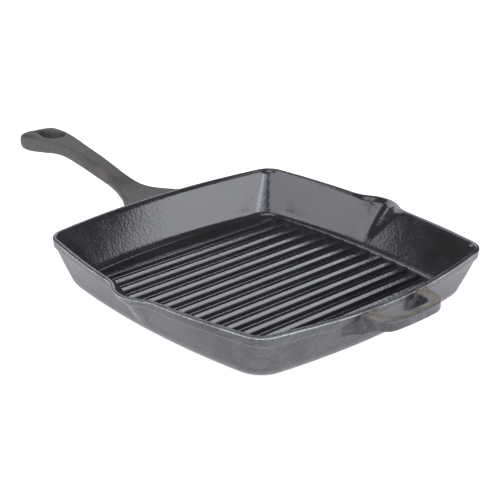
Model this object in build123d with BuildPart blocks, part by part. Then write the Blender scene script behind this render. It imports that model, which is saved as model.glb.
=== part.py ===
"""Square grill pan, cast in one piece of iron: ribbed floor, drafted wall with two pouring spouts,
thickened rim, long hanging handle and a short helper handle opposite it.

The casting is written as its regions, each a solid that meets its neighbours face to face.
Frame: the origin is under the middle of the pan, on the surface that it stands on, +Z is up,
the long handle points to -X, the helper handle to +X and the spouts to -Y and +Y.
"""
from build123d import *
from math import atan2, cos, radians, sin, sqrt
import os

# Pan body, outside
rim_height = 44.0
rim_half_width = 140.0
rim_corner_radius = 21.0
side_bow_radius = 650.0
wall_flare = 12.0
base_corner_radius = 42.0
base_round = 16.0

# Thickened rim
bead_height = 6.5
bead_proud = 2.4
bead_lean = 0.6
rim_land = 4.8
bead_round = 2.4
bead_under_round = 1.4
rim_inner_round = 1.0

# Pan body, inside
floor_thickness = 5.0
wall_foot_width = 5.2
floor_corner_radius = 37.0
floor_round = 11.5
floor_inset = 9.2

# Pouring spouts on both Y sides
spout_reach = 15.0
spout_tip_radius = 24.0
spout_blend_radius = 42.0
spout_flank_angle = 31.0
spout_foot_half_width = 9.0
spout_outer_foot = 13.0
spout_inner_foot = 14.0

# Grill ribs
rib_count = 13
rib_height = 4.8
rib_top_width = 5.8
rib_foot_width = 8.2
rib_top_round = 1.6
rib_end_radius = 2.4
rib_end_gap = 13.7
rib_end_slope = 1.6
rib_side_gap = 31.0
rib_corner_gap = 6.5
rib_field_corner_radius = 50.0

# Long handle
handle_reach = 201.2
handle_rise = 17.0
handle_thickness = 14.0
handle_half_width = 17.5
handle_neck = 65.0
handle_neck_half_width = 8.8
handle_root_half_width = 46.0
handle_buried = 26.0
handle_edge_round = 4.2
hole_big_radius = 10.4
hole_small_radius = 3.4
hole_length = 22.5
hole_end_gap = 21.0
hole_edge_round = 1.2
# Side view: place along the handle, height over the rim, thickness
handle_side_shares = (
    (0.05, -0.20, 0.83), (0.18, -0.15, 0.72), (0.29, 0.22, 0.90), (0.40, 0.54, 0.97), (0.53, 0.81, 0.93),
    (0.66, 1.00, 0.94), (0.78, 0.95, 1.12), (0.89, 0.79, 1.16), (0.98, 0.45, 0.80),
)
# Plan: place between the neck and the round end, growth from the neck's width to the end's
handle_plan_shares = ((0.14, 0.02), (0.32, 0.14), (0.48, 0.28), (0.62, 0.55), (0.77, 0.90))

# Helper handle
loop_top_drop = 5.0
loop_thickness = 8.0
loop_root_half_width = 38.5
loop_arm_half_width = 34.0
loop_depth = 26.5
loop_bar_bow = 2.4
loop_corner_radius = 9.0
loop_hole_half_width = 22.0
loop_bar_width = 7.2
loop_hole_corner_radius = 7.0
loop_buried = 24.0
loop_edge_round = 2.0
gusset_depth = 17.0
gusset_foot = 0.5
gusset_nose = 12.0
gusset_fall = 3.0
gusset_nose_round = 6.0

overrun = 1.0


def between(low, high, share):
    """Length that lies at a share of the way from one length to another."""
    return low + (high - low) * share


# Worked out from the sizes above
wall_top = rim_height - bead_height
wall_half_width = rim_half_width - bead_lean - bead_proud
wall_corner_radius = rim_corner_radius - bead_lean - bead_proud
base_half_width = rim_half_width - wall_flare
cavity_half_width = rim_half_width - rim_land
cavity_corner_radius = rim_corner_radius - rim_land
floor_half_width = between(base_half_width, wall_half_width, floor_thickness / wall_top) - wall_foot_width
rib_field_half_width = floor_half_width - rib_corner_gap
rib_pitch = 2 * (floor_half_width - rib_side_gap) / (rib_count - 1)


def side_place(half_width, along):
    """Distance of a bowed side from the middle of the pan, at a place along that side."""
    return half_width - side_bow_radius + sqrt(side_bow_radius * side_bow_radius - along * along)


def corner_edges(half_width, corner_radius):
    """Half of the +X side and the corner after it, each an arc given by three points."""
    reach = side_bow_radius - half_width
    span = side_bow_radius - corner_radius
    centre = (sqrt(2 * span * span - reach * reach) - reach) / 2
    far = (centre + reach) * side_bow_radius / span - reach
    near = centre * side_bow_radius / span
    middle = centre + corner_radius * sqrt(0.5)
    side = ((half_width, 0), (side_place(half_width, near / 2), near / 2), (far, near))
    corner = ((far, near), (middle, middle), (near, far))
    return [side, corner]


def side_edge(half_width, start, end):
    """Stretch of the +Y side between two places along it, as an arc given by three points."""
    middle = (start + end) / 2
    return tuple((x, side_place(half_width, x)) for x in (start, middle, end))


def plain_quarter(half_width, corner_radius):
    """Quarter of an outline that has no spout."""
    edges = corner_edges(half_width, corner_radius)
    return edges + [side_edge(half_width, edges[1][2][0], 0)]


def foot_quarter(half_width, corner_radius):
    """Quarter of the outline at a spout's foot, where the spout is level with the side."""
    edges = corner_edges(half_width, corner_radius)
    places = [edges[1][2][0]] + [spout_foot_half_width * step / 3 for step in (3, 2, 1, 0)]
    return edges + [side_edge(half_width, start, end) for start, end in zip(places, places[1:])]


def spout_quarter(half_width, corner_radius, reach, tip_radius, blend_radius):
    """Quarter of an outline with half a spout: soft inner corner, straight flank, round tip."""
    edges = corner_edges(half_width, corner_radius)
    angle = radians(spout_flank_angle)
    tip = half_width + reach
    flank_top = (tip_radius * sin(angle), tip - tip_radius + tip_radius * cos(angle))
    tip_middle = (tip_radius * sin(angle / 2), tip - tip_radius + tip_radius * cos(angle / 2))
    start_x = flank_top[0] + blend_radius * sin(angle)
    start_y = flank_top[1] + blend_radius * cos(angle) + side_bow_radius - half_width
    fall = start_y * sin(angle) - start_x * cos(angle)
    excess = start_x * start_x + start_y * start_y - (side_bow_radius + blend_radius) ** 2
    run = fall - sqrt(fall * fall - excess)
    flank_foot = (flank_top[0] + run * cos(angle), flank_top[1] - run * sin(angle))
    centre = (flank_foot[0] + blend_radius * sin(angle), flank_foot[1] + blend_radius * cos(angle))
    turn = atan2(centre[0], centre[1] + side_bow_radius - half_width)
    wing = side_bow_radius * sin(turn)
    half_turn = (angle + turn) / 2
    blend_middle = (centre[0] - blend_radius * sin(half_turn), centre[1] - blend_radius * cos(half_turn))
    return edges + [
        side_edge(half_width, edges[1][2][0], wing),
        ((wing, side_place(half_width, wing)), blend_middle, flank_foot),
        (flank_foot, flank_top),
        (flank_top, tip_middle, (0, tip)),
    ]


def outline(level, quarter):
    """Closed outline at one height, from a quarter that is mirrored to the other three."""
    with BuildSketch(Plane.XY.offset(level)) as plan:
        with BuildLine():
            for side_x, side_y in ((1, 1), (-1, 1), (-1, -1), (1, -1)):
                for edge in quarter:
                    points = [(side_x * x, side_y * y) for x, y in edge]
                    if len(points) == 3:
                        ThreePointArc(*points)
                    else:
                        Line(*points)
        make_face()
    return plan.sketch


def wall_outline(level, has_foot):
    """Outer outline of the wall at a height below its spouts, or at their foot."""
    share = level / wall_top
    half_width = between(base_half_width, wall_half_width, share)
    corner_radius = between(base_corner_radius, wall_corner_radius, share)
    quarter = foot_quarter if has_foot else plain_quarter
    return outline(level, quarter(half_width, corner_radius))


def cavity_outline(level, has_foot):
    """Outline of the pan's hollow at a height below its spouts, or at their foot."""
    share = (level - floor_thickness) / (rim_height - floor_thickness)
    half_width = between(floor_half_width, cavity_half_width, share)
    corner_radius = between(floor_corner_radius, cavity_corner_radius, share)
    quarter = foot_quarter if has_foot else plain_quarter
    return outline(level, quarter(half_width, corner_radius))


# Height of the wall's top as a share of the spout's own height
spout_share = (wall_top - spout_outer_foot) / (rim_height - spout_outer_foot)
spout_at_wall_top = (spout_reach * spout_share, spout_tip_radius * spout_share, spout_blend_radius * spout_share)
spout_inside = (spout_reach, spout_tip_radius - rim_land, spout_blend_radius + rim_land)

# Whole outer shape of the wall, filled
with BuildPart() as wall_mass:
    loft([wall_outline(0, False), wall_outline(spout_outer_foot, False)], ruled=True)
    fillet(wall_mass.edges().group_by(Axis.Z)[0], base_round)
    wall_rim = spout_quarter(wall_half_width, wall_corner_radius, *spout_at_wall_top)
    loft([wall_outline(spout_outer_foot, True), outline(wall_top, wall_rim)], ruled=True)

# Whole outer shape of the thickened rim, filled
with BuildPart() as bead_mass:
    bead_foot = spout_quarter(rim_half_width - bead_lean, rim_corner_radius - bead_lean, *spout_at_wall_top)
    bead_top = spout_quarter(rim_half_width, rim_corner_radius, spout_reach, spout_tip_radius, spout_blend_radius)
    loft([outline(wall_top, bead_foot), outline(rim_height, bead_top)], ruled=True)
    fillet(bead_mass.edges().group_by(Axis.Z)[-1], bead_round)
    fillet(bead_mass.edges().group_by(Axis.Z)[0], bead_under_round)

# Hollow of the pan above its floor
with BuildPart() as cavity:
    loft([cavity_outline(floor_thickness, False), cavity_outline(spout_inner_foot, False)], ruled=True)
    fillet(cavity.edges().group_by(Axis.Z)[0], floor_round)
    cavity_rim = spout_quarter(cavity_half_width, cavity_corner_radius, *spout_inside)
    loft([cavity_outline(spout_inner_foot, True), outline(rim_height, cavity_rim)], ruled=True)
    extrude(outline(rim_height, cavity_rim), amount=overrun)

# Flat floor plate inside the wall's lower round
floor_edge = plain_quarter(floor_half_width - floor_inset, floor_corner_radius - floor_inset)
with BuildPart() as pan_floor:
    extrude(outline(0, floor_edge), amount=floor_thickness)

# Side wall with its lower round and both spouts
with BuildPart() as side_wall:
    add(wall_mass.part)
    add(cavity.part, mode=Mode.SUBTRACT)
    add(pan_floor.part, mode=Mode.SUBTRACT)

# Thickened rim on top of the wall
with BuildPart() as rim_bead:
    add(bead_mass.part)
    add(cavity.part, mode=Mode.SUBTRACT)
    rim_top = rim_bead.faces().sort_by(Axis.Z)[-1]
    fillet(rim_top.inner_wires()[0].edges(), rim_inner_round)

os.makedirs("parts", exist_ok=True)
pan_floor.part.label = "pan_floor"
side_wall.part.label = "side_wall"
rim_bead.part.label = "rim_bead"
for node in (pan_floor, side_wall, rim_bead):
    export_step(node.part, f"parts/{node.part.label}.step")


def rib_half_length(across):
    """Half length of a rib's top at its place across the floor, to end along the wall's curve."""
    length = side_place(floor_half_width - rib_end_gap, across)
    past_corner = abs(across) - rib_field_half_width + rib_field_corner_radius
    if past_corner > 0:
        length -= rib_field_corner_radius - sqrt(rib_field_corner_radius ** 2 - past_corner ** 2)
    return length


# Grill ribs, drafted on all sides, their feet on the floor plate and in its round
for rib_index in range(rib_count):
    rib_x = (rib_index - (rib_count - 1) / 2) * rib_pitch
    rib_length = 2 * rib_half_length(rib_x)
    foot_length = rib_length + 2 * rib_end_slope
    with BuildPart() as rib:
        with BuildSketch(Plane.XY.offset(floor_thickness)) as rib_foot:
            with Locations((rib_x, 0)):
                RectangleRounded(rib_foot_width, foot_length, rib_end_radius)
        with BuildSketch(Plane.XY.offset(floor_thickness + rib_height)) as rib_top:
            with Locations((rib_x, 0)):
                RectangleRounded(rib_top_width, rib_length, rib_end_radius)
        loft(ruled=True)
        fillet(rib.edges().group_by(Axis.Z)[-1], rib_top_round)
        add(cavity.part, mode=Mode.INTERSECT)
    rib.part.label = f"rib_{rib_index + 1:02d}"
    export_step(rib.part, f"parts/{rib.part.label}.step")

# Whole pan body, filled, that both handles are cast onto
with BuildPart() as pan_mass:
    add(wall_mass.part)
    add(bead_mass.part)

# Long handle in plan: flared root, narrow neck, grip that widens to a round end
neck_x = -rim_half_width - handle_neck
end_x = -rim_half_width - handle_reach
end_centre_x = end_x + handle_half_width
buried_x = -rim_half_width + handle_buried
hole_small_x = end_x + hole_end_gap
hole_big_x = hole_small_x + hole_length
grip = [
    (between(neck_x, end_centre_x, place), between(handle_neck_half_width, handle_half_width, growth))
    for place, growth in handle_plan_shares
]
# and in side view: crown line on top, belly line below it
side = [(-rim_half_width - handle_reach * place, handle_rise * rise, handle_thickness * thickness)
        for place, rise, thickness in handle_side_shares]
crown = [(x, rim_height + height) for x, height, thickness in side]
belly = [(x, rim_height + height - thickness) for x, height, thickness in side]

with BuildPart() as long_handle:
    with BuildSketch() as handle_plan:
        with BuildLine():
            root = (-rim_half_width, handle_root_half_width)
            neck = (neck_x, handle_neck_half_width)
            Line((buried_x, 0), (buried_x, handle_root_half_width))
            Line((buried_x, handle_root_half_width), root)
            TangentArc(neck, root, tangent=(1, 0))
            grip_end = (end_centre_x, handle_half_width)
            Spline(neck, *grip, grip_end, tangents=((-1, 0), (-1, 0)))
            ThreePointArc(
                grip_end,
                (end_centre_x - handle_half_width * sqrt(0.5), handle_half_width * sqrt(0.5)),
                (end_x, 0),
            )
            mirror(about=Plane.XZ)
        make_face()
    extrude(amount=2 * rim_height)
    with BuildSketch(Plane.XZ) as handle_side:
        with BuildLine():
            crown_start = (buried_x, crown[0][1])
            belly_start = (buried_x, belly[0][1])
            nose = (end_x - overrun, (crown[-1][1] + belly[-1][1]) / 2)
            Line(crown_start, crown[0])
            Spline(*crown, nose, tangents=((-1, 0), (0, -1)))
            Spline(*belly, nose, tangents=((-1, 0), (0, 1)))
            Line(belly[0], belly_start)
            Line(belly_start, crown_start)
        make_face()
    extrude(amount=2 * handle_root_half_width, both=True, mode=Mode.INTERSECT)
    outer_edges = long_handle.edges().filter_by_position(Axis.X, end_x - overrun, -rim_half_width)
    fillet(outer_edges.filter_by(GeomType.LINE, reverse=True), handle_edge_round)
    with BuildSketch():
        with Locations((hole_small_x, 0)):
            Circle(hole_small_radius)
        with Locations((hole_big_x, 0)):
            Circle(hole_big_radius)
        make_hull()
    extrude(amount=2 * rim_height, mode=Mode.SUBTRACT)
    near_hole = long_handle.edges().filter_by_position(
        Axis.X, hole_small_x - hole_small_radius, hole_big_x + hole_big_radius)
    hole_edges = near_hole.filter_by_position(Axis.Y, -hole_big_radius, hole_big_radius)
    fillet(hole_edges.filter_by(Axis.Z, reverse=True), hole_edge_round)
    add(pan_mass.part, mode=Mode.SUBTRACT)

# Helper handle: a D-shaped loop whose arms deepen into gussets where they meet the wall
bar_x = rim_half_width + loop_depth
loop_top = rim_height - loop_top_drop
loop_under = loop_top - loop_thickness
gusset_nose_x = rim_half_width + gusset_nose
gusset_foot_x = rim_half_width + gusset_foot
loop_buried_x = rim_half_width - loop_buried
with BuildPart() as helper_handle:
    with BuildSketch() as loop_plan:
        with BuildLine():
            root = (rim_half_width, loop_root_half_width)
            shoulder = (bar_x - loop_bar_bow, loop_arm_half_width)
            Line((loop_buried_x, loop_root_half_width), root)
            Line(root, shoulder)
            ThreePointArc(shoulder, (bar_x, 0), (shoulder[0], -shoulder[1]))
            Line((shoulder[0], -shoulder[1]), (root[0], -root[1]))
            Line((root[0], -root[1]), (loop_buried_x, -loop_root_half_width))
            Line((loop_buried_x, -loop_root_half_width), (loop_buried_x, loop_root_half_width))
        make_face()
        fillet(loop_plan.vertices().group_by(Axis.X)[-1], loop_corner_radius)
    extrude(amount=loop_top)
    with BuildSketch(Plane.XZ) as loop_side:
        with BuildLine():
            Polyline(
                (loop_buried_x, loop_top),
                (bar_x + overrun, loop_top),
                (bar_x + overrun, loop_under),
                (gusset_nose_x, loop_under),
                (gusset_foot_x, loop_top - gusset_depth),
                (loop_buried_x, loop_top - gusset_depth - gusset_fall),
                close=True,
            )
        make_face()
        fillet(loop_side.vertices().sort_by_distance((gusset_nose_x, loop_under))[0], gusset_nose_round)
    extrude(amount=2 * loop_root_half_width, both=True, mode=Mode.INTERSECT)
    with BuildSketch(Plane.XY) as loop_hole:
        with BuildLine():
            Polyline(
                (loop_buried_x, -loop_hole_half_width),
                (bar_x - loop_bar_width, -loop_hole_half_width),
                (bar_x - loop_bar_width, loop_hole_half_width),
                (loop_buried_x, loop_hole_half_width),
                close=True,
            )
        make_face()
        fillet(loop_hole.vertices().group_by(Axis.X)[-1], loop_hole_corner_radius)
    extrude(amount=rim_height, mode=Mode.SUBTRACT)
    loop_edges = helper_handle.edges().filter_by(Axis.Y, reverse=True)
    fillet(loop_edges.filter_by(Axis.Z, reverse=True), loop_edge_round)
    add(pan_mass.part, mode=Mode.SUBTRACT)

long_handle.part.label = "long_handle"
helper_handle.part.label = "helper_handle"
for node in (long_handle, helper_handle):
    export_step(node.part, f"parts/{node.part.label}.step")
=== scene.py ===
"""Looks of the square grill pan: enamelled cast iron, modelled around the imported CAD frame."""

import logging
import math
from dataclasses import dataclass, field
from enum import Enum, IntEnum

import bpy
import numpy as np
from mathutils import Matrix, Vector


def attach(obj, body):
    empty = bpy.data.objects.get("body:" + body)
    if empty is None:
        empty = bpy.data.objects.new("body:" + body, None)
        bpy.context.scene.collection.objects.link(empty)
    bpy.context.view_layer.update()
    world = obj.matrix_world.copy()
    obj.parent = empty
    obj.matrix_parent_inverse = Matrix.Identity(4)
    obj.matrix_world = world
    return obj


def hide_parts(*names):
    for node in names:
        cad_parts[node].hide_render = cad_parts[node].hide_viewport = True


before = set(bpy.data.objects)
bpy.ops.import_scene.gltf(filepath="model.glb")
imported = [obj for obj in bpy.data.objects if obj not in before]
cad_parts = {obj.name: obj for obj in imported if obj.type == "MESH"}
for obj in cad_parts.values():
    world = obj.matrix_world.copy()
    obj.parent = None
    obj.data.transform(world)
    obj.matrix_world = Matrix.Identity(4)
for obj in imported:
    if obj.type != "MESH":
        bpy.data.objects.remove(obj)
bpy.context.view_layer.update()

LOG = logging.getLogger("grill_pan")
MM = 0.001
MERGE_GAP = 0.002 * MM
Rings = list[np.ndarray]
Pairs = tuple[tuple[float, float], ...]
Triples = tuple[tuple[float, float, float], ...]


class Slot(Enum):
    """Material slots of the record that the pieces take their finish from."""

    COOKING = "cooking_enamel"
    WALL = "wall_enamel"
    HANDLE = "handle_enamel"


class BodyFace(IntEnum):
    """Places of the body's finishes among its materials."""

    OUTSIDE = 0
    INSIDE = 1
    # Paler band on the rim's outer edge: a painted highlight
    PALE_EDGE = 2


def linear(colour: str) -> tuple[float, float, float, float]:
    """Turns an sRGB hex colour into the linear colour that shaders take.

    Args:
        colour: Six hex digits after a hash.

    Returns:
        Linear red, green and blue, and full alpha.
    """
    shares = [int(colour[place:place + 2], 16) / 255 for place in (1, 3, 5)]
    curve = [share / 12.92 if share <= 0.04045 else ((share + 0.055) / 1.055) ** 2.4
             for share in shares]
    return curve[0], curve[1], curve[2], 1.0


def add_node(tree: bpy.types.NodeTree, kind: str, settings: dict | None = None,
             inputs: dict | None = None) -> bpy.types.Node:
    """Adds one shader node.

    Args:
        tree: Node tree that takes the node.
        kind: Blender's name of the node type.
        settings: Values of the node's own properties.
        inputs: Value of an input, or the output that feeds it, by the input's name or number.

    Returns:
        The new node.
    """
    node = tree.nodes.new(kind)
    for name, value in (settings or {}).items():
        setattr(node, name, value)
    for name, value in (inputs or {}).items():
        if isinstance(value, bpy.types.NodeSocket):
            tree.links.new(value, node.inputs[name])
        else:
            node.inputs[name].default_value = value
    return node


def ranged(tree: bpy.types.NodeTree, value: bpy.types.NodeSocket, given: tuple[float, float],
           wanted: tuple[float, float] = (0.0, 1.0)) -> bpy.types.NodeSocket:
    """Maps a shader value from the range that it has to the range that is wanted."""
    return add_node(tree, "ShaderNodeMapRange", inputs={
        "Value": value, "From Min": given[0], "From Max": given[1],
        "To Min": wanted[0], "To Max": wanted[1]}).outputs[0]


def product(tree: bpy.types.NodeTree, first: bpy.types.NodeSocket,
            second: bpy.types.NodeSocket) -> bpy.types.NodeSocket:
    """Multiplies two shader values."""
    return add_node(tree, "ShaderNodeMath", {"operation": "MULTIPLY"},
                    {0: first, 1: second}).outputs[0]


def mixed(tree: bpy.types.NodeTree, share: bpy.types.NodeSocket,
          first: tuple | bpy.types.NodeSocket, second: tuple) -> bpy.types.NodeSocket:
    """Mixes two colours by the second one's share."""
    return add_node(tree, "ShaderNodeMix", {"data_type": "RGBA"},
                    {"Factor": share, 6: first, 7: second}).outputs[2]


def blank_tree(owner: bpy.types.Material | bpy.types.World) -> bpy.types.NodeTree:
    """Gives a material or a world an empty node tree."""
    owner.use_nodes = True
    owner.node_tree.nodes.clear()
    return owner.node_tree


@dataclass(frozen=True)
class Enamel:
    """Vitreous enamel, sprayed on a sand-cast iron surface and fired, with sizes in millimetres.

    Glass fused on rough iron keeps a soft orange peel from the spray and a fine grain from the sand
    under it, so a reflection breaks up at its edges and stays soft in its middle.
    """

    name: str
    shade: str
    bloom: str
    roughness: float
    roughness_spread: float
    peel_size: float
    peel_height: float
    grain_size: float
    grain_height: float
    ior: float = 1.5
    cloud_size: float = 24.0
    tint_range: tuple[float, float] = (0.18, 0.34)
    gloss_range: tuple[float, float] = (0.12, 0.42)
    speck_spacing: float = 0.0
    speck_edge: tuple[float, float] = (0.05, 0.11)
    speck_rarity: tuple[float, float] = (0.82, 0.9)
    speck_strength: float = 0.35
    speck_shade: str = "#a5a5a6"

    def build(self) -> bpy.types.Material:
        """Makes the material.

        Returns:
            The finished node material.
        """
        material = bpy.data.materials.new(self.name)
        tree = blank_tree(material)
        place = add_node(tree, "ShaderNodeTexCoord").outputs["Object"]
        # Slow cloudiness of the fired coat
        cloud = self.noise(tree, place, self.cloud_size, detail=4.0, roughness=0.6)
        grain = self.noise(tree, place, self.grain_size, detail=3.0, roughness=0.65)
        peel = self.noise(tree, place, self.peel_size, detail=2.0, roughness=0.5)
        mottle = product(tree, cloud, grain)
        tint_share = ranged(tree, mottle, self.tint_range)
        colour = mixed(tree, tint_share, linear(self.shade), linear(self.bloom))
        if self.speck_spacing:
            colour = self.specks(tree, place, colour)
        spread = (self.roughness - self.roughness_spread, self.roughness + self.roughness_spread)
        gloss = ranged(tree, mottle, self.gloss_range, spread)
        low = add_node(tree, "ShaderNodeBump", inputs={
            "Height": peel, "Strength": 1.0, "Distance": self.peel_height * MM})
        high = add_node(tree, "ShaderNodeBump", inputs={
            "Height": grain, "Strength": 1.0, "Distance": self.grain_height * MM,
            "Normal": low.outputs["Normal"]})
        shader = add_node(tree, "ShaderNodeBsdfPrincipled", inputs={
            "Base Color": colour, "Roughness": gloss, "IOR": self.ior,
            "Normal": high.outputs["Normal"]})
        add_node(tree, "ShaderNodeOutputMaterial", inputs={"Surface": shader.outputs["BSDF"]})
        return material

    @staticmethod
    def noise(tree: bpy.types.NodeTree, place: bpy.types.NodeSocket, size: float, detail: float,
              roughness: float) -> bpy.types.NodeSocket:
        """Adds a noise pattern, its largest spots of a size in millimetres, and gives its value."""
        return add_node(tree, "ShaderNodeTexNoise", inputs={
            "Vector": place, "Scale": 1 / (size * MM), "Detail": detail,
            "Roughness": roughness}).outputs["Fac"]

    def specks(self, tree: bpy.types.NodeTree, place: bpy.types.NodeSocket,
               colour: bpy.types.NodeSocket) -> bpy.types.NodeSocket:
        """Sprinkles a few pale pinholes of the fired coat over a colour.

        Args:
            tree: Node tree of the material.
            place: Object coordinates.
            colour: Colour that the specks lie on.

        Returns:
            The speckled colour.
        """
        cells = add_node(tree, "ShaderNodeTexVoronoi", inputs={
            "Vector": place, "Scale": 1 / (self.speck_spacing * MM), "Randomness": 1.0})
        dot = ranged(tree, cells.outputs["Distance"], self.speck_edge, (1.0, 0.0))
        rare = ranged(tree, cells.outputs["Color"], self.speck_rarity, (0.0, self.speck_strength))
        return mixed(tree, product(tree, dot, rare), colour, linear(self.speck_shade))


# Satin black enamel of the cooking side: smooth enough to mirror the softboxes, with orange peel
SATIN_BLACK_ENAMEL = Enamel(
    name="satin_black_vitreous_enamel", shade="#1b1b1b", bloom="#232324",
    roughness=0.15, roughness_spread=0.04,
    peel_size=2.8, peel_height=0.13, grain_size=1.2, grain_height=0.035)
# The same enamel over the unground outside of the casting: duller and greyer, with pinholes
MATT_GREY_ENAMEL = Enamel(
    name="matt_vitreous_enamel_on_sand_casting", shade="#141414", bloom="#363636",
    roughness=0.38, roughness_spread=0.08,
    peel_size=6.0, peel_height=0.3, grain_size=1.9, grain_height=0.28, speck_spacing=6.0)
# Painted highlight: the rim's outer edge gets a paler enamel that stands in for the light caught on
# its round
PAINTED_RIM_HIGHLIGHT_ENAMEL = Enamel(
    name="rim_edge_painted_highlight", shade="#4c4c4d", bloom="#858587",
    roughness=0.35, roughness_spread=0.08,
    peel_size=6.0, peel_height=0.2, grain_size=1.9, grain_height=0.2)
# Painted light: the loop's flat top gets a warm, paler enamel that stands in for the light falling
# on it
LOOP_TOP_PAINTED_LIGHT_ENAMEL = Enamel(
    name="loop_top_painted_light", shade="#35322e", bloom="#5d5850",
    roughness=0.45, roughness_spread=0.06,
    peel_size=3.8, peel_height=0.2, grain_size=1.9, grain_height=0.28)
# The long handle's coat is thin over coarse sand, which gives the light a warm, dusty grey
DULL_HANDLE_ENAMEL = Enamel(
    name="dull_enamel_on_coarse_sand_casting", shade="#1a1714", bloom="#342f29",
    roughness=0.58, roughness_spread=0.06,
    peel_size=3.8, peel_height=0.2, grain_size=1.9, grain_height=0.28)


def deselect() -> None:
    """Deselects every object, because operators act on all that is selected."""
    bpy.ops.object.select_all(action="DESELECT")


def wrap_sheet(name: str, rings: Rings, inside_from: int | None = None) -> bpy.types.Object:
    """Wraps a flat sheet round a row of closed rings and closes both ends.

    Args:
        name: Name of the new piece.
        rings: Points of each ring in millimetres, the same number in each.
        inside_from: Ring from which on the faces are the body's inside, or None.

    Returns:
        The closed piece, with its faces pointing outwards.
    """
    deselect()
    rows = len(rings)
    columns = len(rings[0]) + 1
    bpy.ops.mesh.primitive_grid_add(
        x_subdivisions=columns - 1, y_subdivisions=rows - 1, size=1.0)
    piece = bpy.context.object
    piece.name = name
    mesh = piece.data
    mesh.name = name
    flat = np.zeros(len(mesh.vertices) * 3)
    mesh.vertices.foreach_get("co", flat)
    flat = flat.reshape(-1, 3)
    order = np.lexsort((flat[:, 0], flat[:, 1]))
    wrapped = np.concatenate([np.vstack([ring, ring[:1]]) for ring in rings])
    flat[order] = wrapped * MM
    mesh.vertices.foreach_set("co", flat.ravel())
    if inside_from is not None:
        row_of_face = np.arange(len(mesh.polygons)) // (columns - 1)
        inside = (row_of_face >= inside_from) * int(BodyFace.INSIDE)
        mesh.polygons.foreach_set("material_index", inside.astype(int))
    mesh.update()
    bpy.ops.object.mode_set(mode="EDIT")
    bpy.ops.mesh.select_all(action="SELECT")
    bpy.ops.mesh.remove_doubles(threshold=MERGE_GAP)
    bpy.ops.mesh.select_all(action="DESELECT")
    bpy.ops.mesh.select_mode(type="EDGE")
    bpy.ops.mesh.select_non_manifold(
        extend=False, use_wire=False, use_multi_face=False, use_non_contiguous=False,
        use_verts=False)
    bpy.ops.mesh.edge_face_add()
    bpy.ops.mesh.select_mode(type="FACE")
    bpy.ops.mesh.select_all(action="SELECT")
    bpy.ops.mesh.normals_make_consistent(inside=False)
    bpy.ops.object.mode_set(mode="OBJECT")
    return piece


def activate(piece: bpy.types.Object) -> None:
    """Makes a piece the one that operators act on."""
    deselect()
    piece.select_set(True)
    bpy.context.view_layer.objects.active = piece


def settle(piece: bpy.types.Object, crease: float,
           finishes: list[bpy.types.Material], nodes: list[str]) -> None:
    """Smooths and dresses a finished piece and puts it in the place of its CAD nodes.

    Args:
        piece: The finished piece.
        crease: Angle between faces, in degrees, from which on an edge is shaded sharp.
        finishes: Materials, by face index.
        nodes: CAD nodes that the piece stands for.
    """
    activate(piece)
    bpy.ops.object.shade_smooth_by_angle(angle=math.radians(crease))
    for finish in finishes:
        piece.data.materials.append(finish)
    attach(piece, "root")
    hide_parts(*nodes)
    LOG.info("%s: %d faces, for %s", piece.name, len(piece.data.polygons), ", ".join(nodes))


def arc(radius: float, start: float, end: float, points: int) -> np.ndarray:
    """Lays out an arc round the origin, between two angles in radians."""
    turn = np.linspace(start, end, points)
    return radius * np.column_stack([np.cos(turn), np.sin(turn)])


def round_drop(gap: np.ndarray, radius: float | np.ndarray) -> np.ndarray:
    """Height that a round edge loses at a distance from the edge.

    Args:
        gap: Distances from the edge, in millimetres.
        radius: Radius of the round.

    Returns:
        The drop at each distance, zero from one radius inwards.
    """
    inner = radius - np.clip(gap, 0, radius)
    return radius - np.sqrt(np.maximum(radius * radius - inner * inner, 0))


def curve_through(places: np.ndarray, values: np.ndarray, at: np.ndarray) -> np.ndarray:
    """Smooth curve through points, with a slope at each that follows its neighbours.

    Args:
        places: Rising places of the points.
        values: Their values.
        at: Places to read the curve at.

    Returns:
        The curve's values there.
    """
    slopes = np.gradient(values, places)
    at = np.clip(at, places[0], places[-1])
    left = np.clip(np.searchsorted(places, at, side="right") - 1, 0, len(places) - 2)
    span = places[left + 1] - places[left]
    share = (at - places[left]) / span
    rise = 3 * share ** 2 - 2 * share ** 3
    start = share ** 3 - 2 * share ** 2 + share
    finish = share ** 3 - share ** 2
    return (values[left] * (1 - rise) + values[left + 1] * rise
            + span * (slopes[left] * start + slopes[left + 1] * finish))


@dataclass(frozen=True)
class Station:
    """One ring of the vessel: its size, height and how far its spouts have grown."""

    half_width: float
    corner_radius: float
    level: float
    share: float
    reach: float
    tip_radius: float
    blend_radius: float


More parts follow.
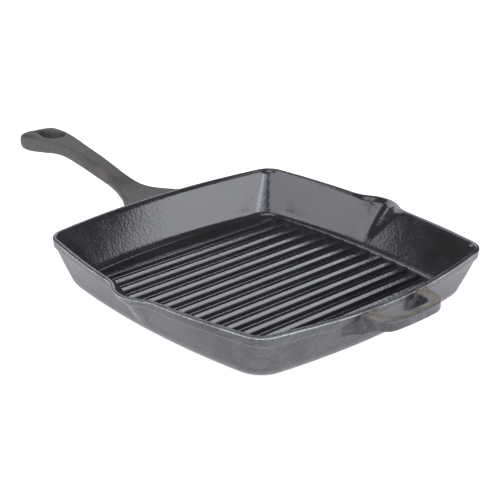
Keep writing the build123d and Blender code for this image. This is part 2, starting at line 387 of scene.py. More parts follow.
@dataclass
class Vessel:
    """The pan's body: floor, flared wall with its spouts, and thickened rim, in millimetres."""

    rim_height: float = 44.0
    rim_half_width: float = 140.0
    rim_corner_radius: float = 18.5
    bow_radius: float = 650.0
    base_half_width: float = 128.0
    base_corner_radius: float = 45.0
    corner_ease: float = 1.5
    base_round: float = 16.0
    rim_sway_out: float = 3.8
    rim_sway_down: float = 2.1
    sway_start: float = 6.0
    sway_ease: float = 1.3
    bead_height: float = 9.6
    bead_proud: float = 2.4
    bead_lean: float = 0.6
    bead_round: float = 2.0
    bead_foot_gap: float = 0.9
    # Soft underside of the thickened rim: distance out from the wall, and height over its foot
    bead_foot: Pairs = ((0.1, -0.2), (0.6, 0.15), (1.2, 0.45), (1.8, 0.9), (2.25, 1.6), (2.42, 2.4))
    rim_land: float = 4.8
    inner_round: float = 2.5
    inner_round_turn: float = 66.0
    inner_wall_drop: float = 2.3
    floor_thickness: float = 5.0
    floor_half_width: float = 120.5
    floor_corner_radius: float = 34.0
    floor_round: float = 9.0
    floor_margin: float = 2.0
    spout_reach: float = 10.1
    spout_tip_radius: float = 29.0
    spout_blend_radius: float = 30.0
    spout_flank_angle: float = 31.0
    spout_foot_half_width: float = 9.0
    spout_outer_foot: float = 13.0
    spout_inner_foot: float = 14.0
    spout_inner_blend: float = 26.0
    spout_ease_share: float = 0.10
    wall_steps: int = 16
    round_steps: int = 8
    inner_round_points: int = 7
    # Bands of the rim's outer round that carry the painted highlight
    painted_highlight_bands: int = 2
    side_points: int = 15
    corner_points: int = 21
    flank_points: int = 9
    nose_points: int = 13
    crease: float = 40.0

    @property
    def wall_top(self) -> float:
        """Height of the thickened rim's foot."""
        return self.rim_height - self.bead_height

    @property
    def wall_half_width(self) -> float:
        """Half width of the outside of the wall where the thickened rim starts."""
        return self.rim_half_width - self.bead_lean - self.bead_proud

    def side(self, half_width: float | np.ndarray, along: np.ndarray) -> np.ndarray:
        """Distance of a bowed side from the pan's middle, at places along it."""
        return half_width - self.bow_radius + np.sqrt(self.bow_radius ** 2 - along ** 2)

    def quarter(self, station: Station) -> np.ndarray:
        """Lays out a quarter of one ring.

        Args:
            station: The ring's size and spout.

        Returns:
            Points from the middle of the +X side to the middle of the +Y side.
        """
        half = station.half_width
        corner = station.corner_radius
        reach = self.bow_radius - half
        span = self.bow_radius - corner
        centre = (math.sqrt(2 * span * span - reach * reach) - reach) / 2
        near = centre * self.bow_radius / span
        far = (centre + reach) * self.bow_radius / span - reach
        along = np.linspace(0, near, self.side_points)[:-1]
        side = np.column_stack([self.side(half, along), along])
        start = math.atan2(near - centre, far - centre)
        bend = centre + arc(corner, start, math.pi / 2 - start, self.corner_points)[:-1]
        plain = self.plain_stretch(half, near)
        spout = self.spout_stretch(station, near)
        return np.vstack([side, bend, (1 - station.share) * plain + station.share * spout])

    def plain_stretch(self, half: float, near: float) -> np.ndarray:
        """Lays out half of the +Y side where it has no spout.

        Args:
            half: Half width of the ring.
            near: Place along the side where its corner ends.

        Returns:
            Points from the corner to the side's middle.
        """
        foot = self.spout_foot_half_width
        across = np.concatenate([
            np.linspace(near, foot, self.side_points)[:-1],
            np.linspace(foot, foot * 2 / 3, self.side_points)[:-1],
            np.linspace(foot * 2 / 3, foot / 3, self.flank_points)[:-1],
            np.linspace(foot / 3, 0, self.nose_points)])
        return np.column_stack([across, self.side(half, across)])

    def spout_stretch(self, station: Station, near: float) -> np.ndarray:
        """Lays out half of the +Y side with a spout: soft inner corner, flank and round tip.

        Args:
            station: The ring's size and spout.
            near: Place along the side where its corner ends.

        Returns:
            As many points from the corner to the side's middle as without a spout.
        """
        half = station.half_width
        tip_radius = station.tip_radius
        blend = station.blend_radius
        angle = math.radians(self.spout_flank_angle)
        tip = half + station.reach
        top = np.array([
            tip_radius * math.sin(angle), tip - tip_radius + tip_radius * math.cos(angle)])
        start_x = top[0] + blend * math.sin(angle)
        start_y = top[1] + blend * math.cos(angle) + self.bow_radius - half
        fall = start_y * math.sin(angle) - start_x * math.cos(angle)
        excess = start_x ** 2 + start_y ** 2 - (self.bow_radius + blend) ** 2
        run = fall - math.sqrt(fall * fall - excess)
        foot = top + run * np.array([math.cos(angle), -math.sin(angle)])
        centre = foot + blend * np.array([math.sin(angle), math.cos(angle)])
        turn = math.atan2(centre[0], centre[1] + self.bow_radius - half)
        wing = self.bow_radius * math.sin(turn)
        across = np.linspace(near, wing, self.side_points)[:-1]
        stretch = np.column_stack([across, self.side(half, across)])
        bend = centre - arc(blend, turn, angle, self.side_points)[:-1, ::-1]
        flank = foot + np.linspace(0, 1, self.flank_points)[:-1, None] * (top - foot)
        nose = arc(tip_radius, angle, 0, self.nose_points)[:, ::-1] + (0, tip - tip_radius)
        return np.vstack([stretch, bend, flank, nose])

    def wall_middle(self, level: np.ndarray, along: np.ndarray) -> np.ndarray:
        """Distance of the wall's middle layer from the pan's middle.

        Args:
            level: Heights.
            along: Places along the side, one for each height.

        Returns:
            The distance at each of them.
        """
        flare = self.wall_half_width - self.base_half_width
        outer = self.base_half_width + flare * np.minimum(level / self.wall_top, 1)
        share = (level - self.floor_thickness) / (self.rim_height - self.floor_thickness)
        inner_flare = self.rim_half_width - self.rim_land - self.floor_half_width
        inner = self.floor_half_width + inner_flare * share
        middle = self.side((outer + inner) / 2, along)
        return middle + self.rim_sway_out * self.sway_share(level, np.abs(along) / middle)

    def ring(self, station: Station) -> np.ndarray:
        """Mirrors a quarter to the whole ring and puts it at its height.

        Args:
            station: The ring's size and spout.

        Returns:
            Points of the ring.
        """
        first = self.quarter(station)
        second = first[-2::-1] * (-1, 1)
        third = first[1:] * (-1, -1)
        fourth = first[-2:0:-1] * (1, -1)
        flat = np.vstack([first, second, third, fourth])
        return self.swayed(np.column_stack([flat, np.full(len(flat), station.level)]))

    def sway_share(self, level: np.ndarray, slant: np.ndarray) -> np.ndarray:
        """Share of the rim's sway that a place has.

        Args:
            level: Heights.
            slant: Place along a side, from its middle (0) to a corner (1).

        Returns:
            The share at each place.
        """
        rise = (level - self.sway_start) / (self.rim_height - self.sway_start)
        grown = np.clip(rise, 0, 1) ** self.sway_ease
        return grown * (1 - np.minimum(slant, 1) ** 2) ** 2

    def swayed(self, points: np.ndarray) -> np.ndarray:
        """Lets the wall lean out and the rim dip along the middle of each side.

        Args:
            points: Points of a ring.

        Returns:
            The moved points.
        """
        flat = np.abs(points[:, :2])
        share = self.sway_share(points[:, 2], flat.min(axis=1) / flat.max(axis=1))
        leading = flat.argmax(axis=1)
        rows = np.arange(len(points))
        moved = points.copy()
        moved[rows, leading] += np.sign(points[rows, leading]) * self.rim_sway_out * share
        moved[:, 2] -= self.rim_sway_down * share
        return moved

    def eased(self, share: float) -> float:
        """Growth of a spout at a share of its height, with a soft start instead of a foot line."""
        return 0.5 * (share + math.sqrt(share * share + self.spout_ease_share ** 2))

    def outer_wall(self) -> list[Station]:
        """Lays out the outside, from the base's flat up to the rim's underside.

        Returns:
            The rings, from the bottom up.
        """
        wall_top = self.wall_top
        top_half = self.wall_half_width
        top_corner = self.rim_corner_radius - self.bead_lean - self.bead_proud
        flare = math.atan2(top_half - self.base_half_width, wall_top)
        swing = math.pi / 2 - flare
        flat_half = self.base_half_width - self.base_round * math.tan(swing / 2)
        share_top = (wall_top - self.spout_outer_foot) / (self.rim_height - self.spout_outer_foot)
        spout = (self.spout_reach * share_top,
                 self.spout_tip_radius * share_top - self.bead_proud,
                 self.spout_blend_radius * share_top + self.bead_proud)
        path = [(flat_half + self.base_round * math.sin(turn),
                 self.base_round * (1 - math.cos(turn)))
                for turn in np.linspace(0, swing, self.round_steps + 1)]
        low = path[-1][1]
        levels = np.linspace(low, wall_top - self.bead_foot_gap, self.wall_steps + 1)[1:]
        path += [(self.base_half_width + math.tan(flare) * level, level) for level in levels]
        stations = []
        for half, level in path:
            line_half = self.base_half_width + math.tan(flare) * max(level, low)
            fall = (top_half - line_half) / (top_half - self.base_half_width)
            line_corner = top_corner + (
                self.base_corner_radius - top_corner) * fall ** self.corner_ease
            share = self.eased((level - self.spout_outer_foot) / (wall_top - self.spout_outer_foot))
            stations.append(Station(
                half, line_corner - (line_half - half), level, min(share, 1.0), *spout))
        return stations

    def bead_ring(self, half: float, level: float) -> Station:
        """Lays out one ring of the rim, with its spout as wide as the rim is there.

        Args:
            half: Half width of the ring.
            level: Its height.

        Returns:
            The ring.
        """
        grown = (level - self.spout_outer_foot) / (self.rim_height - self.spout_outer_foot)
        edge = self.rim_half_width - self.bead_lean * (self.rim_height - level) / self.bead_height
        offset = half - edge
        return Station(
            half, self.rim_corner_radius - (self.rim_half_width - half), level, 1.0,
            self.spout_reach * grown, self.spout_tip_radius * grown + offset,
            self.spout_blend_radius * grown - offset)

    def rim(self) -> list[Station]:
        """Lays out the rim: soft underside, side, round top edge, flat land and inner round.

        Returns:
            The rings, from the underside over the top to the inside.
        """
        stations = [self.bead_ring(self.wall_half_width + out, self.wall_top + up)
                    for out, up in self.bead_foot]
        centre = (self.rim_half_width - self.bead_round, self.rim_height - self.bead_round)
        edge = centre + arc(self.bead_round, 0, math.pi / 2, self.round_steps + 1)
        stations += [self.bead_ring(half, level) for half, level in edge]
        inner = self.rim_half_width - self.rim_land + self.inner_round
        stations.append(self.bead_ring((centre[0] + inner) / 2, self.rim_height))
        for turn in np.linspace(0, math.radians(self.inner_round_turn), self.inner_round_points):
            stations.append(self.bead_ring(
                inner - self.inner_round * math.sin(turn),
                self.rim_height - self.inner_round * (1 - math.cos(turn))))
        return stations

    def inner_wall(self) -> list[Station]:
        """Lays out the hollow, from under the rim's inner round down to the floor's flat.

        Returns:
            The rings, from the top down.
        """
        height = self.rim_height - self.floor_thickness
        top_half = self.rim_half_width - self.rim_land
        top_corner = self.rim_corner_radius - self.rim_land
        flare = math.atan2(top_half - self.floor_half_width, height)
        swing = math.pi / 2 - flare
        flat_half = self.floor_half_width - self.floor_round * math.tan(swing / 2)
        spout = (self.spout_reach, self.spout_tip_radius - self.rim_land, self.spout_inner_blend)
        high = self.floor_thickness + self.floor_round * (1 - math.cos(swing))
        levels = np.linspace(self.rim_height - self.inner_wall_drop, high, self.wall_steps + 1)
        path = [(self.floor_half_width + math.tan(flare) * (level - self.floor_thickness), level)
                for level in levels[:-1]]
        path += [(flat_half + self.floor_round * math.sin(turn),
                  self.floor_thickness + self.floor_round * (1 - math.cos(turn)))
                 for turn in np.linspace(swing, 0, self.round_steps + 3)]
        # A narrow flat ring keeps the floor's shading flat up to its round
        path.append((flat_half - self.floor_margin, self.floor_thickness))
        stations = []
        for half, level in path:
            rise = max(level, high) - self.floor_thickness
            line_half = self.floor_half_width + math.tan(flare) * rise
            line_corner = self.floor_corner_radius + (top_corner - self.floor_corner_radius) * (
                line_half - self.floor_half_width) / (top_half - self.floor_half_width)
            share = self.eased(
                (level - self.spout_inner_foot) / (self.rim_height - self.spout_inner_foot))
            stations.append(Station(
                half, line_corner - (line_half - half), level, min(share, 1.0), *spout))
        return stations

    def build(self, inside: bpy.types.Material, outside: bpy.types.Material,
              painted_highlight_finish: bpy.types.Material) -> bpy.types.Object:
        """Models the body and dresses it.

        Args:
            inside: Finish of the hollow and the rim's land.
            outside: Finish of the outside.
            painted_highlight_finish: Paler finish of the rim's outer round, a painted highlight.

        Returns:
            The body's object.
        """
        outer = self.outer_wall() + self.rim()
        rings = [self.ring(station) for station in outer + self.inner_wall()]
        # Before the inner round and the land's middle line comes the ring where the land starts
        land_start = len(outer) - self.inner_round_points - 2
        edge_start = land_start - self.round_steps
        around = len(rings[0])
        piece = wrap_sheet("pan_body", rings, land_start)
        # The first bands of the rim's outer round get a paler finish: a painted highlight along the
        # edge
        pale = slice(edge_start * around, (edge_start + self.painted_highlight_bands) * around)
        for face in piece.data.polygons[pale]:
            face.material_index = BodyFace.PALE_EDGE
        for face in piece.data.polygons:
            # The floor's flat is the one face with many corners that lies above the base
            if len(face.vertices) > 4 and face.center.z > self.floor_thickness * MM / 2:
                face.material_index = BodyFace.INSIDE
        settle(piece, self.crease, [outside, inside, painted_highlight_finish],
               ["side_wall", "rim_bead", "pan_floor"])
        return piece


@dataclass
class Ribs:
    """The grill ribs, each with drafted sides, a round top edge and a soft foot."""

    vessel: Vessel
    count: int = 13
    pitch: float = 15.5
    shift: float = 1.2
    height: float = 4.6
    top_half_width: float = 2.8
    draft: float = 0.3
    top_round: float = 0.6
    top_inset: float = 0.25
    foot_round: float = 1.7
    sunk: float = 0.5
    flank_angle: float = 87.0
    end_radius: float = 2.4
    least_end_radius: float = 0.3
    end_flat: float = 0.05
    side_half_length: float = 110.3
    field_half_width: float = 117.5
    field_corner_radius: float = 50.0
    round_points: int = 7
    crease: float = 50.0

    def half_length(self, across: float) -> float:
        """Half length of a rib's top, so that the ends follow the wall.

        Args:
            across: The rib's place across the floor.

        Returns:
            Its half length.
        """
        length = float(self.vessel.side(self.side_half_length, np.array(across)))
        past = abs(across) - self.field_half_width + self.field_corner_radius
        if past > 0:
            length -= self.field_corner_radius - math.sqrt(
                self.field_corner_radius ** 2 - past ** 2)
        return length

    def section(self) -> list[tuple[float, float]]:
        """Lays out half of a rib's section.

        Returns:
            Distances out from the top's edge line, and heights over the floor.
        """
        foot = [(self.draft + self.foot_round * (1 - math.sin(turn)),
                 self.foot_round * (1 - math.cos(turn)))
                for turn in np.linspace(0, math.radians(self.flank_angle), self.round_points)]
        lean = math.radians(90 - self.flank_angle)
        top = [(-self.top_round * (1 - math.cos(turn)),
                self.height - self.top_round * (1 - math.sin(turn)))
               for turn in np.linspace(lean, math.pi / 2, self.round_points)]
        return [(foot[0][0], -self.sunk)] + foot + top + [
            (-self.top_round - self.top_inset, self.height)]

    def rib(self, index: int) -> Rings:
        """Lays out one rib.

        Args:
            index: The rib's number, from 0 at the -X side.

        Returns:
            Its rings, from under the floor's surface to its flat top.
        """
        across = (index - (self.count - 1) / 2) * self.pitch
        length = self.half_length(across)
        rings = []
        for out, up in self.section():
            half = self.top_half_width + out
            corner = min(max(self.end_radius + out, self.least_end_radius), half - self.end_flat)
            bend = arc(corner, 0, math.pi / 2, self.round_points) + (
                half - corner, length + out - corner)
            flat = np.vstack([bend, bend[::-1] * (-1, 1), -bend, bend[::-1] * (1, -1)])
            flat[:, 0] += across + self.shift
            level = self.vessel.floor_thickness + up
            rings.append(np.column_stack([flat, np.full(len(flat), level)]))
        return rings

    def build(self, finish: bpy.types.Material) -> None:
        """Models every rib and dresses it.

        Args:
            finish: Finish of the ribs.
        """
        for index in range(self.count):
            piece = wrap_sheet(f"grill_rib_{index + 1:02d}", self.rib(index))
            settle(piece, self.crease, [finish], [f"rib_{index + 1:02d}"])


@dataclass
class LongHandle:
    """The long handle: flared root, narrow neck, and a grip that widens to a pierced end."""

    vessel: Vessel
    reach: float = 198.9
    rise: float = 17.0
    thickness: float = 14.0
    half_width: float = 17.5
    neck: float = 65.0
    neck_half_width: float = 8.8
    root_half_width: float = 39.0
    root_fillet: float = 9.0
    root_fillet_start: float = 5.0
    buried: float = 7.0
    # Each ring of the root keeps out of the wall's middle, a step further than the ring before
    wall_gap: float = 1.2
    ring_step: float = 0.2
    edge_round: float = 4.2
    # The mould's parting leaves a low ridge along the sides, less on a narrow section
    parting: float = 0.35
    parting_half_width: float = 4.0
    parting_levels: tuple[float, ...] = (0.35, 0.5, 0.65)
    parting_bulges: tuple[float, ...] = (0.6, 1.0, 0.6)
    hole_big_radius: float = 10.8
    hole_small_radius: float = 3.8
    hole_length: float = 24.0
    hole_end_gap: float = 19.5
    # Lip of the hole: how much wider it is, and how far above the handle's surface
    hole_lip: Pairs = ((2.55, 2.2), (0.9, 0.0), (0.375, -0.35), (0.1125, -0.8), (0.0, -1.6))
    # Side line: share of the reach, share of the rise, share of the thickness
    side_shares: Triples = (
        (0.0, -0.19, 0.84), (0.05, -0.20, 0.83), (0.18, -0.15, 0.72), (0.29, 0.22, 0.90),
        (0.40, 0.54, 1.02), (0.53, 0.78, 0.94), (0.66, 0.95, 0.90), (0.78, 0.955, 1.10),
        (0.89, 0.87, 1.25), (0.98, 0.58, 0.86))
    # Plan: share of the way from the neck to the round end, share of the widening
    plan_shares: Pairs = (
        (0.0, 0.0), (0.14, 0.02), (0.32, 0.14), (0.48, 0.28), (0.62, 0.55), (0.77, 0.90),
        (1.0, 1.0))
    sections: int = 72
    end_sections: int = 25
    across_points: int = 41
    drop_points: tuple[int, int] = (41, 15)
    edge_samples: tuple[int, int] = (300, 120)
    edge_overrun: float = 20.0
    crease: float = 38.0

    @property
    def end(self) -> float:
        """Distance of the handle's end from the pan's middle."""
        return self.vessel.rim_half_width + self.reach

    @property
    def centre(self) -> float:
        """Distance of the round end's centre from the pan's middle."""
        return self.end - self.half_width

    def side_line(self, column: int, scale: float, out: np.ndarray) -> np.ndarray:
        """Reads a column of the side shares, times the size that they are shares of."""
        table = np.array(self.side_shares)
        places = self.vessel.rim_half_width + self.reach * table[:, 0]
        return curve_through(places, scale * table[:, column], out)

    def crown(self, out: np.ndarray) -> np.ndarray:
        """Height of the top line at distances from the pan's middle."""
        return self.vessel.rim_height + self.side_line(1, self.rise, out)

    def belly(self, out: np.ndarray) -> np.ndarray:
        """Height of the underside, with its fillet at the wall.

        Args:
            out: Distances from the pan's middle.

        Returns:
            The height at each.
        """
        line = self.crown(out) - self.side_line(2, self.thickness, out)
        wall = self.vessel.rim_half_width - self.root_fillet_start
        return line - round_drop(out - wall, self.root_fillet)

    def width(self, out: np.ndarray) -> np.ndarray:
        """Half width of the plan.

        Args:
            out: Distances from the pan's middle.

        Returns:
            The half width at each.
        """
        neck = self.vessel.rim_half_width + self.neck
        flare = self.root_half_width - self.neck_half_width
        radius = (self.neck ** 2 + flare ** 2) / (2 * flare)
        root = self.neck_half_width + radius - np.sqrt(
            radius ** 2 - np.clip(neck - out, 0, self.neck) ** 2)
        table = np.array(self.plan_shares)
        grip = curve_through(
            neck + (self.centre - neck) * table[:, 0],
            self.neck_half_width + (self.half_width - self.neck_half_width) * table[:, 1], out)
        past = np.clip(out - self.centre, 0, None)
        tip = np.sqrt(np.maximum(self.half_width ** 2 - past ** 2, 0))
        return np.where(out < neck, root, np.where(out < self.centre, grip, tip))

    def rings(self) -> Rings:
        """Lays out the handle.

        Returns:
            Its sections, from the buried root to the end.
        """
        start = self.vessel.rim_half_width - self.buried
        end = arc(self.half_width, 0, math.pi / 2, self.end_sections)[:, 1]
        places = np.concatenate([
            np.linspace(start, self.centre, self.sections)[:-1], self.centre + end])
        end = arc(self.half_width, 0, math.pi / 2, self.edge_samples[1])[:, 1]
        edge_out = np.concatenate([
            np.linspace(start - self.edge_overrun, self.centre, self.edge_samples[0]),
            self.centre + end])
        edge = np.column_stack([edge_out, self.width(edge_out)])
        points = self.across_points
        sweep = np.linspace(-math.pi / 2, math.pi / 2, points)
        levels = np.array(self.parting_levels)
        bulges = np.array(self.parting_bulges)
        sections = []
        for out in places:
            half = float(self.width(np.array([out]))[0])
            across = half * np.sin(sweep)
            apart = np.hypot(
                edge[:, 0][None, :] - out, edge[:, 1][None, :] - np.abs(across)[:, None])
            drop = round_drop(apart.min(axis=1), self.edge_round)
            top = float(self.crown(np.array([out]))[0]) - drop
            under = float(self.belly(np.array([out]))[0]) + drop
            bulge = bulges * self.parting * min(half / self.parting_half_width, 1)
            side = top[0] + (under[0] - top[0]) * levels
            section = np.vstack([
                np.column_stack([np.full(points, -out), across, top]),
                np.column_stack([np.full(len(side), -out), half + bulge, side]),
                np.column_stack([np.full(points, -out), across[::-1], under[::-1]]),
                np.column_stack([np.full(len(side), -out), -half - bulge, side[::-1]])])
            middle = self.vessel.wall_middle(section[:, 2], section[:, 1])
            middle = middle + self.wall_gap + self.ring_step * len(sections)
            section[:, 0] = np.minimum(section[:, 0], -middle)
            sections.append(section)
        return sections

    def drop_outline(self, offset: float) -> np.ndarray:
        """Lays out the hang hole's drop shape.

        Args:
            offset: How much wider than the hole the outline is.

        Returns:
            Points of the outline, as distance out and across.
        """
        small = self.end - self.hole_end_gap
        big = small - self.hole_length
        lean = math.asin((self.hole_big_radius - self.hole_small_radius) / self.hole_length)
        turn = math.pi / 2 + lean
        wide = arc(self.hole_big_radius + offset, -turn, turn, self.drop_points[0])
        narrow = arc(self.hole_small_radius + offset, turn, 2 * math.pi - turn,
                     self.drop_points[1])
        return np.vstack([(big, 0) + wide * (-1, 1), (small, 0) + narrow * (-1, 1)])

    def cutter(self) -> bpy.types.Object:
        """Models the drop-shaped cutter, with lips that open at both faces.

        Returns:
            The cutter's object.
        """
        rings = []
        for surface, sign, steps in ((self.crown, 1, self.hole_lip),
                                     (self.belly, -1, self.hole_lip[::-1])):
            for wide, up in steps:
                outline = self.drop_outline(wide)
                rings.append(np.column_stack([
                    -outline[:, 0], outline[:, 1], surface(outline[:, 0]) + sign * up]))
        return wrap_sheet("hole_cutter", rings)

    def build(self, finish: bpy.types.Material) -> bpy.types.Object:
        """Models the handle, pierces it and dresses it.

        Args:
            finish: Finish of the handle.

        Returns:
            The handle's object.
        """
        piece = wrap_sheet("long_handle_casting", self.rings())
        cutter = self.cutter()
        activate(piece)
        hole = piece.modifiers.new("hang_hole", "BOOLEAN")
        hole.operation = "DIFFERENCE"
        hole.solver = "EXACT"
        hole.object = cutter
        bpy.ops.object.modifier_apply(modifier=hole.name)
        bpy.data.objects.remove(cutter)
        settle(piece, self.crease, [finish], ["long_handle"])
        return piece


@dataclass
class HelperHandle:
    """The short loop opposite the long handle, with a gusset under each arm."""

    vessel: Vessel
    top_drop: float = 5.0
    top_rise: float = 2.6
    top_rise_run: float = 14.0
    top_flatness: float = 0.8
    thickness: float = 8.8
    root_half_width: float = 36.6
    arm_half_width: float = 36.0
    depth: float = 26.4
    bar_bow: float = 2.4
    corner_radius: float = 15.0
    corner_bow_share: float = 1.6
    hole_half_width: float = 23.6
    bar_width: float = 8.0
    hole_corner_radius: float = 7.5
    buried: float = 9.0
    edge_round: float = 1.7
    gusset_depth: float = 16.6
    gusset_foot: float = 5.2
    gusset_nose: float = 15.2
    outer_fillet: float = 14.0
    inner_fillet: float = 6.0
    # The outer fillet is small at the top and grows to its full radius this far below it
    fillet_growth: float = 9.0
    least_fillet_share: float = 0.3
    ring_step: float = 0.2
    # Points along the buried root, the arm, the corner and the bar
    path_points: tuple[int, int, int, int] = (6, 13, 11, 13)
    round_points: int = 7
    side_levels: tuple[float, ...] = (0.2, 0.4, 0.6, 0.8)
    crease: float = 38.0

    def flared(self, section: np.ndarray, share: np.ndarray) -> np.ndarray:
        """Runs a section's sides out into the wall with round fillets.

        Args:
            section: Points of the section.
            share: Place of each point across the section, from -1 at the gap to 1 outside.

        Returns:
            The points, moved along the wall.
        """
        vessel = self.vessel
        level = section[:, 2]
        along = np.abs(section[:, 1])
        flare = vessel.wall_half_width - vessel.base_half_width
        wall = vessel.side(vessel.base_half_width + flare * level / vessel.wall_top, along)
        gap = section[:, 0] - wall - vessel.rim_sway_out * vessel.sway_share(level, along / wall)
        below = np.clip((vessel.rim_height - self.top_drop - level) / self.fillet_growth, 0, 1)
        least = self.least_fillet_share
        radius = self.outer_fillet * (least + (1 - least) * below)
        outer = round_drop(gap, radius) * np.clip(share, 0, 1)
        inner = round_drop(gap, self.inner_fillet) * np.clip(-share, 0, 1)
        moved = section.copy()
        moved[:, 1] += np.sign(section[:, 1]) * (outer - inner)
        return moved

    def outer_edge(self) -> np.ndarray:
        """Lays out the outside edge in plan.

        Returns:
            Points from one buried root to the middle of the bar.
        """
        rim = self.vessel.rim_half_width
        end = rim + self.depth
        cut = self.corner_radius
        buried = np.array([rim - self.buried, self.root_half_width])
        root = np.array([rim, self.root_half_width])
        shoulder = np.array([end - self.bar_bow, self.arm_half_width])
        turn_start = shoulder - (shoulder - root) / np.linalg.norm(shoulder - root) * cut
        turn_end = shoulder + np.array([
            self.bar_bow * cut / self.arm_half_width * self.corner_bow_share, -cut])
        shares = [np.linspace(0, 1, points)[:-1, None] for points in self.path_points[:3]]
        start = shares[0] * (root - buried) + buried
        arm = shares[1] * (turn_start - root) + root
        share = shares[2]
        corner = ((1 - share) ** 2 * turn_start + 2 * share * (1 - share) * shoulder
                  + share ** 2 * turn_end)
        across = np.linspace(turn_end[1], 0, self.path_points[3])
        bow = (end - turn_end[0]) * (across / turn_end[1]) ** 2
        return np.vstack([start, arm, corner, np.column_stack([end - bow, across])])

    def inner_edge(self) -> np.ndarray:
        """Lays out the edge of the finger gap in plan.

        Returns:
            As many points as the outside edge has.
        """
        rim = self.vessel.rim_half_width
        cut = self.hole_corner_radius
        far = rim + self.depth - self.bar_width
        root_points, arm_points, corner_points, bar_points = self.path_points
        arm_out = np.concatenate([np.linspace(rim - self.buried, rim, root_points)[:-1],
                                  np.linspace(rim, far - cut, arm_points)[:-1]])
        arm = np.column_stack([arm_out, np.full(len(arm_out), self.hole_half_width)])
        corner = (far - cut, self.hole_half_width - cut) + arc(
            cut, 0, math.pi / 2, corner_points)[:-1, ::-1]
        across = np.linspace(self.hole_half_width - cut, 0, bar_points)
        return np.vstack([arm, corner, np.column_stack([np.full(bar_points, far), across])])

    def underside(self, out: float) -> float:
        """Height of the underside: deep at the wall, rising along the gusset to the thin loop.

        Args:
            out: Distance from the pan's middle.

        Returns:
            The height there.
        """
        rim = self.vessel.rim_half_width
        top = self.vessel.rim_height - self.top_drop
        thin = top - self.thickness
        deep = top - self.gusset_depth
        foot = rim + self.gusset_foot
        nose = rim + self.gusset_nose
        # Each run's end has a point on either side, which makes the turn there a soft one
        line = np.array((
            (rim - self.buried, deep - 1.6), (rim - 5, deep - 1.4), (rim - 1, deep - 0.5),
            (foot - 1.6, deep), (foot, deep + 0.7),
            (foot + (nose - foot) / 2, deep + 0.52 * (thin - deep)), (nose, thin - 0.5),
            (nose + 2.2, thin), (nose + 5, thin), (rim + self.depth + 1, thin)))
        return float(curve_through(line[:, 0], line[:, 1], np.array([out]))[0])

    def crown(self, out: float) -> float:
        """Height of the top, which rises a little where it runs into the rim."""
        share = min(max((out - self.vessel.rim_half_width) / self.top_rise_run, 0.0), 1.0)
        return self.vessel.rim_height - self.top_drop + self.top_rise * (1 - share) ** 2

    def section(self, far: np.ndarray, near: np.ndarray) -> np.ndarray:
        """Lays out one section across the loop.

        Args:
            far: Point of the outside edge.
            near: Point of the finger gap's edge.

        Returns:
            Points of the section, run out into the wall.
        """
        span = far - near
        width = float(np.linalg.norm(span))
        direction = span / width
        middle = (far + near) / 2
        low = self.underside(float(middle[0]))
        top = self.crown(float(middle[0]))
        radius = self.edge_round
        half = width / 2 - radius
        height = top - low - 2 * radius
        ring = []
        shares = []
        for across, level, start in ((half, top - radius, 0), (-half, top - radius, 90),
                                     (-half, low + radius, 180), (half, low + radius, 270)):
            for turn in np.radians(np.linspace(start, start + 90, self.round_points)):
                side = across + radius * math.cos(turn)
                ring.append((*(middle + direction * side), level + radius * math.sin(turn)))
                shares.append(side / (half + radius))
            if start in (90, 270):
                # Points along the side, so that its fillet into the wall follows the wall's lean
                step = -height if start == 90 else height
                for share in self.side_levels:
                    ring.append((*(middle + direction * side), level + step * share))
                    shares.append(side / (half + radius))
        return self.flared(np.array(ring), np.array(shares))

    def rings(self) -> Rings:
        """Lays out the loop.

        Returns:
            Its sections, from one root round the bar to the other.
        """
        outer = self.outer_edge()
        inner = self.inner_edge()
        outer = np.vstack([outer, outer[-2::-1] * (1, -1)])
        inner = np.vstack([inner, inner[-2::-1] * (1, -1)])
        sections = []
        for index, (far, near) in enumerate(zip(outer, inner)):
            section = self.section(far, near)
            step = min(index, len(outer) - 1 - index)
            middle = self.vessel.wall_middle(section[:, 2], section[:, 1]) + self.ring_step * step
            section[:, 0] = np.maximum(section[:, 0], middle)
            sections.append(section)
        return sections

    def build(self, finish: bpy.types.Material, painted_light_top: bpy.types.Material) -> bpy.types.Object:
        """Models the loop and dresses it.

        Args:
            finish: Finish of the sides, the gussets and the underside.
            painted_light_top: Paler finish of the faces that point up, painted light on the top.

        Returns:
            The loop's object.
        """
        piece = wrap_sheet("helper_handle_casting", self.rings())
        for face in piece.data.polygons:
            # Faces that point up take the paler finish: painted light on the loop's top
            face.material_index = int(face.normal.z > self.top_flatness)
        settle(piece, self.crease, [finish, painted_light_top], ["helper_handle"])
        return piece


def direction(azimuth: float, elevation: float) -> Vector:
    """Turns an azimuth and an elevation in degrees into a direction of length 1."""
    turn, tilt = math.radians(azimuth), math.radians(elevation)
    return Vector((math.cos(turn) * math.cos(tilt), math.sin(turn) * math.cos(tilt),
                   math.sin(tilt)))


@dataclass(frozen=True)
class Softbox:
    """One soft light, placed by its direction from the pan, in degrees and metres."""

    name: str
    azimuth: float
    elevation: float
    distance: float
    width: float
    height: float
    radiance: float
    tint: str = "#f2f5ff"

    def build(self) -> bpy.types.Object:
        """Adds the light, turned to the pan.

        Returns:
            The light's object.
        """
        away = direction(self.azimuth, self.elevation)
        lamp = bpy.data.lights.new(self.name, "AREA")
        lamp.shape = "RECTANGLE"
        lamp.color = linear(self.tint)[:3]
        lamp.size = self.width
        lamp.size_y = self.height
        lamp.energy = self.radiance * math.pi * self.width * self.height
        light = bpy.data.objects.new(self.name, lamp)
        bpy.context.scene.collection.objects.link(light)
        light.location = away * self.distance
        light.rotation_euler = away.to_track_quat("Z", "Y").to_euler()
        return light


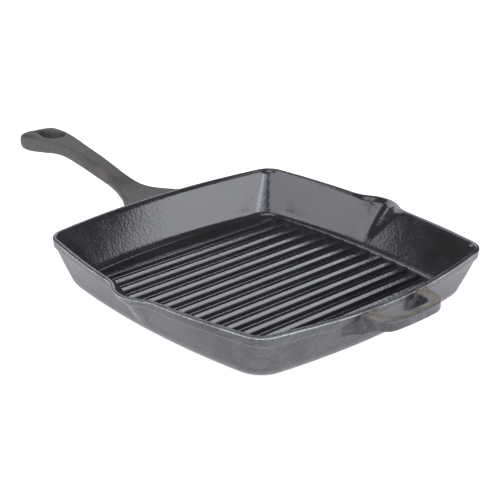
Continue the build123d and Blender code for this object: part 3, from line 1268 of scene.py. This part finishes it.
@dataclass
class Studio:
    """Pale floor, soft lights and the camera at the photograph's viewing angle."""

    vessel: Vessel
    azimuth: float = -43.55
    elevation: float = 23.37
    distance: float = 1133.88
    shift_right: float = -12.78
    shift_up: float = -8.02
    roll: float = 0.93
    focal_pixels: float = 1374.37
    picture_pixels: float = 500.0
    sensor: float = 36.0
    clip: tuple[float, float] = (0.01, 50.0)
    floor_size: float = 16.0
    floor_glow: float = 0.62
    air_glow: float = 0.10
    softboxes: list[Softbox] = field(default_factory=lambda: [
        Softbox("softbox_right_far", 19, 24, 2.2, 2.15, 1.9, 6.0),
        Softbox("softbox_right_near", 343, 24, 2.3, 1.2, 1.7, 4.5),
        Softbox("softbox_left", 264, 30, 2.3, 3.3, 2.6, 4.2),
        Softbox("softbox_back_left", 157, 36, 2.2, 2.2, 1.1, 2.9),
        Softbox("softbox_overhead", 310, 82, 2.2, 1.0, 1.0, 3.4),
    ])

    def camera(self) -> bpy.types.Object:
        """Adds the camera of the photograph.

        Returns:
            The camera's object.
        """
        back = direction(self.azimuth, self.elevation)
        level_right = Vector((0, 0, 1)).cross(back).normalized()
        level_up = back.cross(level_right)
        roll = math.radians(self.roll)
        right = level_right * math.cos(roll) + level_up * math.sin(roll)
        up = level_up * math.cos(roll) - level_right * math.sin(roll)
        place = right * self.shift_right + up * self.shift_up + back * self.distance
        place.z += self.vessel.rim_height
        lens = bpy.data.cameras.new("photo_camera")
        lens.sensor_width = self.sensor
        lens.lens = self.focal_pixels / self.picture_pixels * self.sensor
        lens.clip_start, lens.clip_end = self.clip
        camera = bpy.data.objects.new("photo_camera", lens)
        bpy.context.scene.collection.objects.link(camera)
        axes = Matrix((right, up, back)).transposed().to_4x4()
        camera.matrix_world = Matrix.Translation(place * MM) @ axes
        bpy.context.scene.camera = camera
        return camera

    def floor(self) -> bpy.types.Object:
        """Adds a wide pale floor that glows a little, as a light table does.

        Returns:
            The floor's object.
        """
        deselect()
        bpy.ops.mesh.primitive_plane_add(size=self.floor_size)
        floor = bpy.context.object
        floor.name = "studio_floor"
        # White acrylic, lit from below: an even pale ground that lights the pan's lower sides
        material = bpy.data.materials.new("white_acrylic_light_table")
        tree = blank_tree(material)
        shader = add_node(tree, "ShaderNodeBsdfPrincipled", inputs={
            "Base Color": linear("#e8e8e8"), "Roughness": 0.9, "Specular IOR Level": 0.1,
            "Emission Color": linear("#ffffff"), "Emission Strength": self.floor_glow})
        add_node(tree, "ShaderNodeOutputMaterial", inputs={"Surface": shader.outputs["BSDF"]})
        floor.data.materials.append(material)
        return floor

    def build(self) -> None:
        """Builds the studio."""
        self.camera()
        self.floor()
        for softbox in self.softboxes:
            softbox.build()
        world = bpy.data.worlds.new("studio_air")
        bpy.context.scene.world = world
        tree = blank_tree(world)
        glow = add_node(tree, "ShaderNodeBackground", inputs={
            "Color": linear("#ffffff"), "Strength": self.air_glow})
        add_node(tree, "ShaderNodeOutputWorld", inputs={"Surface": glow.outputs["Background"]})
        bpy.context.scene.view_settings.view_transform = "Standard"


def main() -> None:
    """Builds the pan, its finishes and the studio."""
    logging.basicConfig(level=logging.INFO, format="%(name)s: %(message)s")
    satin = SATIN_BLACK_ENAMEL.build()
    matt = MATT_GREY_ENAMEL.build()
    dull = DULL_HANDLE_ENAMEL.build()
    # Paler enamel for the loop's top: painted light
    painted_light_top = LOOP_TOP_PAINTED_LIGHT_ENAMEL.build()
    # Paler enamel of the rim's edge: a painted highlight
    thin = PAINTED_RIM_HIGHLIGHT_ENAMEL.build()
    vessel = Vessel()
    vessel.build(satin, matt, thin)
    Ribs(vessel).build(satin)
    LongHandle(vessel).build(dull)
    HelperHandle(vessel).build(matt, painted_light_top)
    Studio(vessel).build()


if __name__ == "__main__":
    main()
